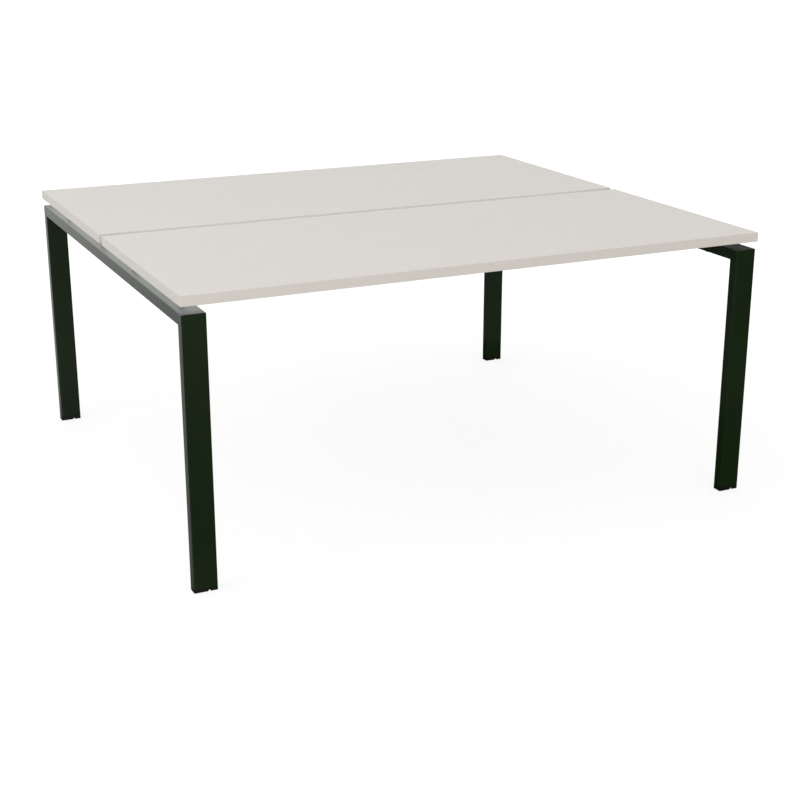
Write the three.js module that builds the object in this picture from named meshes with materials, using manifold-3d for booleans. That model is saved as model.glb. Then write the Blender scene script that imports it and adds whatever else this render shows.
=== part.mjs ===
// Benching desk for two: a pair of worktops that float on two goal-post frames.
// Millimetres, +Z up, +X along the desk, -Y towards the front seat.
// The origin is on the floor below the middle of the desk.

import * as THREE from 'three';
import { mergeVertices } from 'three/addons/utils/BufferGeometryUtils.js';
import Module from 'manifold-3d';

const wasm = await Module();
wasm.setup();

// Worktops
const DESK_HEIGHT = 735;
const TOP_LENGTH = 1600;
const TOP_DEPTH = 698;
const TOP_THICKNESS = 25;
const TOP_GAP = 24;
const EDGING_THICKNESS = 2;
const EDGING_ROUND = 1.2;

// Tube of the frames and rails
const TUBE_WIDTH = 60;
const TUBE_DEPTH = 30;
const TUBE_WALL = 2;
const TUBE_ROUND = 3;
const FRAME_INSET_END = 2;
const FRAME_INSET_SIDE = 4;

// Spacers and the screws that hold the worktops
const SPACER_HEIGHT = 20;
const SPACER_RADIUS = 8;
const SPACER_CHAMFER = 0.8;
const SPACER_INSET = 150;
const SPACER_SHIFT = 16;
const SCREW_RADIUS = 3;
const SCREW_HEAD_RADIUS = 6;
const SCREW_HEAD_HEIGHT = 3.6;
const SCREW_HEAD_SLOPE = 1.8;
const SCREW_SOCKET_RADIUS = 2.3;
const SCREW_SOCKET_DEPTH = 2;
const SCREW_POINT = 5;
const SCREW_COVER = 8;

// Rail ends and their bolts
const PLATE_THICKNESS = 5;
const PLATE_MARGIN = 5;
const BOLT_RADIUS = 4;
const BOLT_HEAD_RADIUS = 7;
const BOLT_HEAD_HEIGHT = 4.4;
const BOLT_HEAD_SLOPE = 2.8;
const BOLT_SOCKET_RADIUS = 2.9;
const BOLT_SOCKET_DEPTH = 2.2;
const BOLT_TO_RAIL = 12;
const WELD_NUT_RADIUS = 7.5;
const WELD_NUT_HEIGHT = 7;

// Feet
const CAP_WALL = 2;
const CAP_CEILING = 2;
const PLUG_LENGTH = 25;
const PLUG_WALL = 2.5;
const BOSS_WIDTH = 16;
const NOTCH_WIDTH = 5.5;
const NOTCH_HEIGHT = 4;
const NOTCH_OFFSET = 8;
const PAD_THICKNESS = 4;
const PAD_CHAMFER = 0.8;
const PAD_SOCKET_DEPTH = 2.5;
const STUD_RADIUS = 4;
const STUD_LENGTH = 48;
const STUD_POINT = 1.2;
const COLLAR_RADIUS = 7.5;
const COLLAR_HEIGHT = 3.4;

// Fits
const FIT_GAP = 0.3;
const PAD_CLEARANCE = 0.5;
const CUT_MARGIN = 1;
const LEAST_ROUND = 0.5;

// Fineness of round shapes
const CORNER_SEGMENTS = 2;
const HOLE_SEGMENTS = 12;
const ROUND_SEGMENTS = 20;
const HEXAGON = 6;

// Levels and places that follow from the sizes above
const UNDERSIDE = DESK_HEIGHT - TOP_THICKNESS;
const FRAME_TOP = UNDERSIDE - SPACER_HEIGHT;
const BEAM_AXIS = FRAME_TOP - TUBE_DEPTH / 2;
const TOP_CENTRE = (TOP_GAP + TOP_DEPTH) / 2;
const FRAME_DEPTH = 2 * TOP_DEPTH + TOP_GAP - 2 * FRAME_INSET_SIDE;
const LEG_X = TOP_LENGTH / 2 - FRAME_INSET_END - TUBE_WIDTH / 2;
const LEG_Y = (FRAME_DEPTH - TUBE_DEPTH) / 2;
const BEAM_INNER_FACE = LEG_X - TUBE_WIDTH / 2;
const PLATE_FACE = BEAM_INNER_FACE - FIT_GAP - PLATE_THICKNESS;
const BOLT_OFFSET = TUBE_DEPTH / 2 + BOLT_TO_RAIL;
const SPACER_OFFSET = TOP_DEPTH / 2 - SPACER_INSET;
const SPACER_X = LEG_X - SPACER_SHIFT;
const CORE_MARGIN = EDGING_THICKNESS + FIT_GAP;
const HOLE_RADIUS = SCREW_RADIUS + FIT_GAP;
const BOLT_HOLE_RADIUS = BOLT_RADIUS + FIT_GAP;
const COLLAR_FOOT = PAD_THICKNESS + FIT_GAP;
const CAP_HOLLOW = COLLAR_FOOT + COLLAR_HEIGHT + FIT_GAP;
const CAP_HEIGHT = CAP_HOLLOW + CAP_CEILING;

const SIDES = [['left', -1], ['right', 1]];
const SEATS = [['front', -1], ['rear', 1]];
const ENDS = [['outer', 1], ['inner', -1]];

// Finishes
function finish(color, roughness, metalness) {
  return new THREE.MeshStandardMaterial({ color, roughness, metalness });
}
const LAMINATE = finish('#dcd8d2', 0.55, 0);
const EDGING = finish('#cbc6bd', 0.5, 0);
const GREEN_COAT = finish('#1e2919', 0.45, 0.2);
const BLACK_PLASTIC = finish('#1a1a1b', 0.6, 0);
const ZINC = finish('#b4b7b8', 0.35, 0.9);

// Solids: a closed mesh goes in, cuts and joins are made, a mesh comes out
function toSolid(geometry) {
  const bare = geometry.clone();
  bare.deleteAttribute('normal');
  bare.deleteAttribute('uv');
  const merged = mergeVertices(bare);
  const index = merged.index.array;
  const kept = [];
  for (let i = 0; i < index.length; i += 3) {
    const [a, b, c] = [index[i], index[i + 1], index[i + 2]];
    if (a !== b && b !== c && c !== a) kept.push(a, b, c);
  }
  return new wasm.Manifold(new wasm.Mesh({
    numProp: 3,
    vertProperties: new Float32Array(merged.attributes.position.array),
    triVerts: new Uint32Array(kept),
  }));
}

function toGeometry(solid) {
  const { vertProperties, triVerts } = solid.getMesh();
  const geometry = new THREE.BufferGeometry();
  geometry.setAttribute('position', new THREE.BufferAttribute(vertProperties, 3));
  geometry.setIndex(new THREE.BufferAttribute(triVerts, 1));
  geometry.computeVertexNormals();
  return geometry;
}

// Axes: turn a shape drawn across Z so that it runs along X, Y or Z
const X_AXIS = new THREE.Vector3(1, 0, 0);
const Y_AXIS = new THREE.Vector3(0, 1, 0);
const Z_AXIS = new THREE.Vector3(0, 0, 1);
const ALONG = {
  x: new THREE.Matrix4().makeBasis(Y_AXIS, Z_AXIS, X_AXIS),
  y: new THREE.Matrix4().makeBasis(Z_AXIS, X_AXIS, Y_AXIS),
  z: new THREE.Matrix4(),
};

function roundedRectangle(width, height, radius) {
  const x = width / 2 - radius;
  const y = height / 2 - radius;
  const quarter = Math.PI / 2;
  const shape = new THREE.Shape();
  shape.absarc(x, y, radius, 0, quarter);
  shape.absarc(-x, y, radius, quarter, 2 * quarter);
  shape.absarc(-x, -y, radius, 2 * quarter, 3 * quarter);
  shape.absarc(x, -y, radius, 3 * quarter, 4 * quarter);
  return shape;
}

// The round of a bore or plug follows the tube's round, less the wall between them
function innerRound(wall) {
  return Math.max(TUBE_ROUND - wall, LEAST_ROUND);
}

// A prism runs along an axis, from a start to an end
function prism(shape, axis, start, end) {
  const settings = { depth: end - start, bevelEnabled: false, curveSegments: CORNER_SEGMENTS };
  const geometry = new THREE.ExtrudeGeometry(shape, settings);
  geometry.translate(0, 0, start);
  return toSolid(geometry.applyMatrix4(ALONG[axis]));
}

function box(width, depth, height, x, y, z) {
  return toSolid(new THREE.BoxGeometry(width, depth, height).translate(x, y, z));
}

// A rod runs along an axis, from a start to an end, beside the origin
const ORIGIN = [0, 0, 0];
function rod(radius, axis, start, end, place = ORIGIN, segments = HOLE_SEGMENTS) {
  const geometry = new THREE.CylinderGeometry(radius, radius, end - start, segments);
  geometry.rotateX(Math.PI / 2).translate(0, 0, (start + end) / 2);
  return toSolid(geometry.applyMatrix4(ALONG[axis]).translate(...place));
}

// A turned piece has its profile as pairs of radius and height, from the foot up
function turned(profile, axis, segments = ROUND_SEGMENTS) {
  const points = profile.map(([radius, height]) => new THREE.Vector2(radius, height));
  const geometry = new THREE.LatheGeometry(points, segments).rotateX(Math.PI / 2);
  return toSolid(geometry.applyMatrix4(ALONG[axis]));
}

function piece(name, solid, material, x, y, z) {
  const mesh = new THREE.Mesh(toGeometry(solid), material);
  mesh.name = name;
  mesh.position.set(x, y, z);
  return mesh;
}

// Worktop: a board with pilot holes, and an edging strip on each of its four sides
function boardSolid() {
  const core = [TOP_LENGTH - 2 * CORE_MARGIN, TOP_DEPTH - 2 * CORE_MARGIN];
  let board = box(...core, TOP_THICKNESS, 0, 0, TOP_THICKNESS / 2);
  for (const [, side] of SIDES) {
    for (const [, end] of ENDS) {
      const place = [side * SPACER_X, end * SPACER_OFFSET, 0];
      const pilot = rod(HOLE_RADIUS, 'z', -CUT_MARGIN, TOP_THICKNESS - SCREW_COVER + FIT_GAP, place);
      board = board.subtract(pilot);
    }
  }
  return board;
}

function edgingSolid(length) {
  const outer = EDGING_THICKNESS - EDGING_ROUND;
  const strip = new THREE.Shape();
  strip.moveTo(0, 0);
  strip.absarc(outer, EDGING_ROUND, EDGING_ROUND, -Math.PI / 2, 0);
  strip.absarc(outer, TOP_THICKNESS - EDGING_ROUND, EDGING_ROUND, 0, Math.PI / 2);
  strip.lineTo(0, TOP_THICKNESS);
  return prism(strip, 'x', -length / 2, length / 2);
}

function worktop(seat, towards) {
  const top = new THREE.Group();
  top.position.set(0, towards * TOP_CENTRE, UNDERSIDE);
  top.add(piece(`${seat}_worktop_board`, boardSolid(), LAMINATE, 0, 0, 0));

  const longEdge = TOP_DEPTH / 2 - EDGING_THICKNESS;
  const shortEdge = TOP_LENGTH / 2 - EDGING_THICKNESS;
  const shortLength = TOP_DEPTH - 2 * CORE_MARGIN;
  const strips = [
    ['rear', TOP_LENGTH, 0, longEdge, 0],
    ['front', TOP_LENGTH, 0, -longEdge, Math.PI],
    ['left', shortLength, -shortEdge, 0, Math.PI / 2],
    ['right', shortLength, shortEdge, 0, -Math.PI / 2],
  ];
  for (const [edge, length, x, y, turn] of strips) {
    const strip = piece(`${seat}_worktop_${edge}_edging`, edgingSolid(length), EDGING, x, y, 0);
    strip.rotation.z = turn;
    top.add(strip);
  }
  return top;
}

// Goal-post frame: two legs and a beam of rectangular tube, mitred where they meet
function tubeSolid(width, depth, axis, start, end) {
  const outside = prism(roundedRectangle(width, depth, TUBE_ROUND), axis, start, end);
  const bore = roundedRectangle(width - 2 * TUBE_WALL, depth - 2 * TUBE_WALL, innerRound(TUBE_WALL));
  return outside.subtract(prism(bore, axis, start - CUT_MARGIN, end + CUT_MARGIN));
}

// What a mitre takes away, on the beam's side or on the leg's side of the joint
function mitreWaste(towards, cornerY, cornerZ, keepsBeam) {
  const reach = TUBE_DEPTH + CUT_MARGIN;
  const away = keepsBeam ? -1 : 1;
  const level = cornerZ - away * FIT_GAP * Math.SQRT1_2;
  const outerY = towards * (cornerY + CUT_MARGIN);
  const innerY = towards * (cornerY - reach);
  const waste = new THREE.Shape();
  waste.moveTo(outerY, level + CUT_MARGIN);
  waste.lineTo(innerY, level - reach);
  waste.lineTo(keepsBeam ? outerY : innerY, keepsBeam ? level - reach : level + CUT_MARGIN);
  return prism(waste, 'x', -TUBE_WIDTH, TUBE_WIDTH);
}

function legSolid(towards) {
  const bar = tubeSolid(TUBE_WIDTH, TUBE_DEPTH, 'z', CAP_HEIGHT + FIT_GAP, FRAME_TOP);
  return bar.subtract(mitreWaste(towards, TUBE_DEPTH / 2, FRAME_TOP, false));
}

function beamSolid(side) {
  const half = FRAME_DEPTH / 2;
  let bar = tubeSolid(TUBE_DEPTH, TUBE_WIDTH, 'y', -half, half);
  for (const [, towards] of SEATS) {
    bar = bar.subtract(mitreWaste(towards, half, TUBE_DEPTH / 2, true));
    for (const [, end] of ENDS) {
      const screwY = towards * (TOP_CENTRE + end * SPACER_OFFSET);
      const boltY = towards * (TOP_CENTRE + end * BOLT_OFFSET);
      const wallInside = TUBE_WIDTH / 2 - TUBE_WALL;
      const nutSpan = [wallInside - WELD_NUT_HEIGHT, wallInside + TUBE_WALL / 2];
      const boltSpan = [wallInside - WELD_NUT_HEIGHT - CUT_MARGIN, TUBE_WIDTH / 2 + CUT_MARGIN];
      const place = [-side * SPACER_SHIFT, screwY, 0];
      bar = bar.subtract(rod(HOLE_RADIUS, 'z', -TUBE_DEPTH, TUBE_DEPTH, place));
      bar = bar.add(inward(side, WELD_NUT_RADIUS, nutSpan, boltY));
      bar = bar.subtract(inward(side, BOLT_HOLE_RADIUS, boltSpan, boltY));
    }
  }
  return bar;
}

// A rod across the beam, measured from its axis towards the middle of the desk
function inward(side, radius, [near, far], y) {
  const [start, end] = side > 0 ? [-far, -near] : [near, far];
  return rod(radius, 'x', start, end, [0, y, 0]);
}

function goalPost(side, hand) {
  const frame = new THREE.Group();
  frame.position.set(hand * LEG_X, 0, 0);
  for (const [seat, towards] of SEATS) {
    const leg = legSolid(towards);
    frame.add(piece(`${side}_frame_${seat}_leg`, leg, GREEN_COAT, 0, towards * LEG_Y, 0));
  }
  frame.add(piece(`${side}_frame_top_beam`, beamSolid(hand), GREEN_COAT, 0, 0, BEAM_AXIS));
  return frame;
}

// Foot: a hollow cap plugged into the leg, and a pad that turns on a threaded stud
function capSolid() {
  const rim = roundedRectangle(TUBE_WIDTH, TUBE_DEPTH, TUBE_ROUND);
  const hollowWidth = TUBE_WIDTH - 2 * CAP_WALL;
  const hollowDepth = TUBE_DEPTH - 2 * CAP_WALL;
  const hollow = roundedRectangle(hollowWidth, hollowDepth, innerRound(CAP_WALL));
  const plugInset = TUBE_WALL + FIT_GAP;
  const plugWidth = TUBE_WIDTH - 2 * plugInset;
  const plugDepth = TUBE_DEPTH - 2 * plugInset;
  const plug = roundedRectangle(plugWidth, plugDepth, innerRound(plugInset));
  const plugTop = CAP_HEIGHT + PLUG_LENGTH;

  let cap = prism(rim, 'z', 0, CAP_HEIGHT);
  cap = cap.add(prism(plug, 'z', CAP_HOLLOW, plugTop));
  cap = cap.subtract(prism(hollow, 'z', -CUT_MARGIN, CAP_HOLLOW));
  cap = cap.subtract(rod(STUD_RADIUS + FIT_GAP, 'z', 0, plugTop + CUT_MARGIN));

  const pocketWidth = (plugWidth - BOSS_WIDTH) / 2 - PLUG_WALL;
  const pocketX = (BOSS_WIDTH + pocketWidth) / 2;
  const pocketZ = CAP_HEIGHT + (PLUG_LENGTH + CUT_MARGIN) / 2;
  for (const way of [-1, 1]) {
    const pocket = [pocketWidth, plugDepth - 2 * PLUG_WALL, PLUG_LENGTH + CUT_MARGIN];
    cap = cap.subtract(box(...pocket, way * pocketX, 0, pocketZ));
    const notch = [NOTCH_WIDTH, 2 * CAP_WALL + CUT_MARGIN, 2 * NOTCH_HEIGHT];
    cap = cap.subtract(box(...notch, -way * NOTCH_OFFSET, way * TUBE_DEPTH / 2, 0));
  }
  return cap;
}

function padSolid() {
  const radius = TUBE_DEPTH / 2 - CAP_WALL - PAD_CLEARANCE;
  const socket = STUD_RADIUS + FIT_GAP;
  return turned([
    [0, 0],
    [radius - PAD_CHAMFER, 0],
    [radius, PAD_CHAMFER],
    [radius, PAD_THICKNESS - PAD_CHAMFER],
    [radius - PAD_CHAMFER, PAD_THICKNESS],
    [socket, PAD_THICKNESS],
    [socket, PAD_THICKNESS - PAD_SOCKET_DEPTH],
    [0, PAD_THICKNESS - PAD_SOCKET_DEPTH],
  ], 'z');
}

function studSolid() {
  const foot = PAD_THICKNESS - PAD_SOCKET_DEPTH + FIT_GAP;
  const tip = foot + STUD_LENGTH;
  const shank = turned([
    [0, foot],
    [STUD_RADIUS, foot],
    [STUD_RADIUS, tip - STUD_POINT],
    [STUD_RADIUS - STUD_POINT, tip],
    [0, tip],
  ], 'z', HOLE_SEGMENTS);
  const collar = rod(COLLAR_RADIUS, 'z', COLLAR_FOOT, COLLAR_FOOT + COLLAR_HEIGHT, ORIGIN, HEXAGON);
  return shank.add(collar);
}

function foot(corner, x, y) {
  const group = new THREE.Group();
  group.position.set(x, y, 0);
  group.add(piece(`${corner}_foot_cap`, capSolid(), BLACK_PLASTIC, 0, 0, 0));
  group.add(piece(`${corner}_levelling_pad`, padSolid(), BLACK_PLASTIC, 0, 0, 0));
  group.add(piece(`${corner}_levelling_stud`, studSolid(), ZINC, 0, 0, 0));
  return group;
}

// Rail: the same tube on edge under a worktop, with a bolted plate at each end
function railSolid() {
  const half = PLATE_FACE - FIT_GAP;
  return tubeSolid(TUBE_DEPTH, TUBE_WIDTH, 'x', -half, half);
}

function plateSolid() {
  const width = 2 * (BOLT_OFFSET + BOLT_HEAD_RADIUS + PLATE_MARGIN);
  let plate = prism(roundedRectangle(width, TUBE_DEPTH, TUBE_ROUND), 'x', 0, PLATE_THICKNESS);
  for (const [, end] of ENDS) {
    const place = [0, end * BOLT_OFFSET, 0];
    plate = plate.subtract(rod(BOLT_HOLE_RADIUS, 'x', -CUT_MARGIN, PLATE_THICKNESS + CUT_MARGIN, place));
  }
  return plate;
}

// A button-head bolt lies along X, with the underside of its head at the origin
function boltSolid() {
  const reach = FIT_GAP + PLATE_THICKNESS + FIT_GAP + TUBE_WALL + WELD_NUT_HEIGHT;
  const crown = -BOLT_HEAD_HEIGHT;
  const bolt = turned([
    [0, crown],
    [BOLT_HEAD_RADIUS - BOLT_HEAD_SLOPE, crown],
    [BOLT_HEAD_RADIUS, crown + BOLT_HEAD_SLOPE],
    [BOLT_HEAD_RADIUS, 0],
    [BOLT_RADIUS, 0],
    [BOLT_RADIUS, reach],
    [0, reach],
  ], 'x', HOLE_SEGMENTS);
  const socket = [crown - CUT_MARGIN, crown + BOLT_SOCKET_DEPTH];
  return bolt.subtract(rod(BOLT_SOCKET_RADIUS, 'x', ...socket, ORIGIN, HEXAGON));
}

function rail(seat, towards) {
  const group = new THREE.Group();
  group.position.set(0, towards * TOP_CENTRE, 0);
  const railAxis = UNDERSIDE - FIT_GAP - TUBE_WIDTH / 2;
  group.add(piece(`${seat}_rail`, railSolid(), GREEN_COAT, 0, 0, railAxis));
  for (const [side, hand] of SIDES) {
    const turn = hand > 0 ? 0 : Math.PI;
    const name = `${seat}_rail_${side}`;
    const plate = piece(`${name}_end_plate`, plateSolid(), GREEN_COAT, hand * PLATE_FACE, 0, BEAM_AXIS);
    plate.rotation.z = turn;
    group.add(plate);
    for (const [end, way] of ENDS) {
      const x = hand * (PLATE_FACE - FIT_GAP);
      const y = towards * way * BOLT_OFFSET;
      const bolt = piece(`${name}_${end}_bolt`, boltSolid(), ZINC, x, y, BEAM_AXIS);
      bolt.rotation.z = turn;
      group.add(bolt);
    }
  }
  return group;
}

// Spacers on the beams, and the screws that pass up through them into the boards
function spacerSolid() {
  const height = SPACER_HEIGHT - 2 * FIT_GAP;
  const edge = SPACER_RADIUS - SPACER_CHAMFER;
  return turned([
    [HOLE_RADIUS, 0],
    [edge, 0],
    [SPACER_RADIUS, SPACER_CHAMFER],
    [SPACER_RADIUS, height - SPACER_CHAMFER],
    [edge, height],
    [HOLE_RADIUS, height],
    [HOLE_RADIUS, 0],
  ], 'z');
}

// A screw stands upright, with the bearing face of its head at the origin
function screwSolid() {
  const tip = FIT_GAP + TUBE_DEPTH + SPACER_HEIGHT + TOP_THICKNESS - SCREW_COVER;
  const crown = -SCREW_HEAD_HEIGHT;
  const screw = turned([
    [0, crown],
    [SCREW_HEAD_RADIUS - SCREW_HEAD_SLOPE, crown],
    [SCREW_HEAD_RADIUS, crown + SCREW_HEAD_SLOPE],
    [SCREW_HEAD_RADIUS, 0],
    [SCREW_RADIUS, 0],
    [SCREW_RADIUS, tip - SCREW_POINT],
    [0, tip],
  ], 'z', HOLE_SEGMENTS);
  const socket = [crown - CUT_MARGIN, crown + SCREW_SOCKET_DEPTH];
  return screw.subtract(rod(SCREW_SOCKET_RADIUS, 'z', ...socket, ORIGIN, HEXAGON));
}

function fixing(name, x, y) {
  const group = new THREE.Group();
  group.position.set(x, y, 0);
  group.add(piece(`${name}_spacer`, spacerSolid(), BLACK_PLASTIC, 0, 0, FRAME_TOP + FIT_GAP));
  const headFace = FRAME_TOP - TUBE_DEPTH - FIT_GAP;
  group.add(piece(`${name}_top_screw`, screwSolid(), ZINC, 0, 0, headFace));
  return group;
}

const desk = new THREE.Group();
for (const [side, hand] of SIDES) {
  desk.add(goalPost(side, hand));
}
for (const [seat, towards] of SEATS) {
  desk.add(worktop(seat, towards));
  desk.add(rail(seat, towards));
  for (const [side, hand] of SIDES) {
    const corner = `${seat}_${side}`;
    desk.add(foot(corner, hand * LEG_X, towards * LEG_Y));
    for (const [end, way] of ENDS) {
      const y = towards * (TOP_CENTRE + way * SPACER_OFFSET);
      desk.add(fixing(`${corner}_${end}`, hand * SPACER_X, y));
    }
  }
}

export default desk;
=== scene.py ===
"""Benching desk for two: a pair of pale worktops floating on two dark green goal-post frames.

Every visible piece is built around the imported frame, in metres, with +Z up and the front seat
towards -Y. Places are read from the frame's own nodes; sizes that the frame doesn't give are
fields of the classes below, in millimetres.
"""

import logging
import math
from dataclasses import dataclass
from enum import Enum
from typing import Any, Iterable, Optional

import bmesh
import bpy
from bmesh.types import BMEdge, BMesh, BMFace, BMVert
from bpy.types import Material, Node, NodeSocket, NodeTree, Object, ShaderNodeTree
from mathutils import Matrix, Vector


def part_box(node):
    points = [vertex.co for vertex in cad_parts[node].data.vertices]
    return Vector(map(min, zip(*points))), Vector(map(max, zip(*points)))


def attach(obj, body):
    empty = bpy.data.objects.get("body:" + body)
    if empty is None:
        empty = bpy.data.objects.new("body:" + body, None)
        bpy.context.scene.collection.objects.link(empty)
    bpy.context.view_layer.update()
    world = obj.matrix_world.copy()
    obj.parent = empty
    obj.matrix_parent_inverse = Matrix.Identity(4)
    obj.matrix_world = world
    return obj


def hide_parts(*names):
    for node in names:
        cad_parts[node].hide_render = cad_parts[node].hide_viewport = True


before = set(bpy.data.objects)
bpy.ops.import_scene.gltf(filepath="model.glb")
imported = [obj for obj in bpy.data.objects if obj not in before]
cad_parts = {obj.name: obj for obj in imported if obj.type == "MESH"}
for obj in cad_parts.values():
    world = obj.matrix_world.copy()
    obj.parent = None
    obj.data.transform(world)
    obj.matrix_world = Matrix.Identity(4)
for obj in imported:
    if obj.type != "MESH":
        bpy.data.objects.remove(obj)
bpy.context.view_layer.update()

log = logging.getLogger("benching_desk")

DESK_BODY = "desk"
MILLIMETRE = 0.001
SHARP_ANGLE = math.radians(40)
MERGE_DISTANCE = 1e-6
FULL_TURN = 2 * math.pi
FIT_GAP_MM = 0.3
MIXED_COLOUR = 2  # which output of a Mix node is its colour


def mm(value: float) -> float:
    """Turns millimetres to metres."""
    return value * MILLIMETRE


def per_metre(size_mm: float) -> float:
    """Gives the texture scale at which a pattern repeats about every size_mm."""
    return 1 / mm(size_mm)


def linear(hex_colour: str) -> tuple[float, float, float, float]:
    """Turns an sRGB hex value to linear colour.

    Args:
        hex_colour: A colour such as "#1e2919".

    Returns:
        Red, green and blue in linear light, and an alpha of 1.
    """
    parts = [int(hex_colour[i : i + 2], 16) / 255 for i in (1, 3, 5)]
    red, green, blue = (
        p / 12.92 if p <= 0.04045 else ((p + 0.055) / 1.055) ** 2.4 for p in parts
    )
    return red, green, blue, 1.0


class Side(Enum):
    """An end of the desk, as seen from the front seat."""

    LEFT = "left"
    RIGHT = "right"

    @property
    def hand(self) -> int:
        """The sign of X on this side."""
        return -1 if self is Side.LEFT else 1


class Seat(Enum):
    """One of the two people's halves of the desk."""

    FRONT = "front"
    REAR = "rear"

    @property
    def towards(self) -> int:
        """The sign of Y on this seat's side."""
        return -1 if self is Seat.FRONT else 1


class End(Enum):
    """Which of a pair is nearer the seat or nearer the middle of the desk."""

    OUTER = "outer"
    INNER = "inner"


class Edge(Enum):
    """One of the four edges of a worktop."""

    FRONT = "front"
    REAR = "rear"
    LEFT = "left"
    RIGHT = "right"

    @property
    def outward(self) -> Vector:
        """The direction that this edge faces."""
        return {
            Edge.FRONT: Vector((0, -1, 0)),
            Edge.REAR: Vector((0, 1, 0)),
            Edge.LEFT: Vector((-1, 0, 0)),
            Edge.RIGHT: Vector((1, 0, 0)),
        }[self]


class Slot(Enum):
    """The record's material slots."""

    LAMINATE = "worktop_laminate"
    EDGING = "worktop_edging"
    GREEN_COAT = "green_coat"
    BLACK_PLASTIC = "black_plastic"
    ZINC_STEEL = "zinc_steel"


# Finishes


def add_node(
    tree: NodeTree,
    kind: str,
    settings: Optional[dict[str, Any]] = None,
    values: Optional[dict[str, Any]] = None,
    links: Optional[dict[str, NodeSocket]] = None,
) -> Node:
    """Adds a node to a tree.

    Args:
        tree: The tree that gets the node.
        kind: The node's type, such as "ShaderNodeBump".
        settings: Properties of the node itself.
        values: Constants, by the name or identifier of the input.
        links: Output sockets of other nodes, by the name or identifier of the input they feed.

    Returns:
        The new node.
    """
    node = tree.nodes.new(kind)
    for name, value in (settings or {}).items():
        setattr(node, name, value)
    sockets = {s.name: s for s in reversed(node.inputs)}
    sockets |= {s.identifier: s for s in node.inputs}
    for name, value in (values or {}).items():
        sockets[name].default_value = value
    for name, source in (links or {}).items():
        tree.links.new(source, sockets[name])
    return node


@dataclass(frozen=True)
class Finish:
    """What every finish has: the name of the real material, its slot and its main colour."""

    name: str
    slot: Slot
    colour: str

    def material(self) -> Material:
        """Makes the material once, and gives the same one after that."""
        made = bpy.data.materials.get(self.name)
        if made is None:
            made = bpy.data.materials.new(self.name)
            made.use_nodes = True
            tree = made.node_tree
            tree.nodes.clear()
            place = add_node(tree, "ShaderNodeTexCoord").outputs["Object"]
            shader = self.shader(tree, place)
            add_node(tree, "ShaderNodeOutputMaterial", links={"Surface": shader})
            log.info("material %s", self.name)
        return made

    def shader(self, tree: ShaderNodeTree, place: NodeSocket) -> NodeSocket:
        """Builds the surface.

        Args:
            tree: The material's tree.
            place: Object coordinates, in metres.

        Returns:
            The shader that shows.
        """
        raise NotImplementedError


@dataclass(frozen=True)
class MelamineBoard(Finish):
    """Chipboard faced with melamine paper, pressed against a pearl-textured plate.

    To the eye it is a flat, pale, even sheet: the pearl only softens reflections, and the
    decor paper gives a barely visible cloud.
    """

    pale_colour: str = "#e0dcd6"
    roughness: tuple[float, float] = (0.44, 0.54)
    # The real pearl is about 0.7 mm; it is drawn coarser so that it still shows from a stride away
    pearl_mm: float = 2.2
    pearl_depth_mm: float = 0.05
    cloud_mm: float = 60.0
    smear_mm: float = 240.0

    def shader(self, tree: ShaderNodeTree, place: NodeSocket) -> NodeSocket:
        """Builds the surface; see Finish.shader for its arguments and result."""
        cloud = add_node(
            tree,
            "ShaderNodeTexNoise",
            values={"Scale": per_metre(self.cloud_mm), "Detail": 5.0, "Roughness": 0.7},
            links={"Vector": place},
        )
        paper = add_node(
            tree,
            "ShaderNodeMix",
            settings={"data_type": "RGBA"},
            values={"A_Color": linear(self.colour), "B_Color": linear(self.pale_colour)},
            links={"Factor_Float": cloud.outputs["Fac"]},
        )
        smear = add_node(
            tree,
            "ShaderNodeTexNoise",
            values={"Scale": per_metre(self.smear_mm), "Detail": 3.0},
            links={"Vector": place},
        )
        gloss = add_node(
            tree,
            "ShaderNodeMapRange",
            values={"To Min": self.roughness[0], "To Max": self.roughness[1]},
            links={"Value": smear.outputs["Fac"]},
        )
        pearl = add_node(
            tree,
            "ShaderNodeTexVoronoi",
            settings={"feature": "SMOOTH_F1"},
            values={"Scale": per_metre(self.pearl_mm), "Smoothness": 0.8},
            links={"Vector": place},
        )
        relief = add_node(
            tree,
            "ShaderNodeBump",
            values={"Strength": 0.35, "Distance": mm(self.pearl_depth_mm)},
            links={"Height": pearl.outputs["Distance"]},
        )
        return add_node(
            tree,
            "ShaderNodeBsdfPrincipled",
            values={"IOR": 1.5},
            links={
                "Base Color": paper.outputs[MIXED_COLOUR],
                "Roughness": gloss.outputs["Result"],
                "Normal": relief.outputs["Normal"],
            },
        ).outputs["BSDF"]


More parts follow.
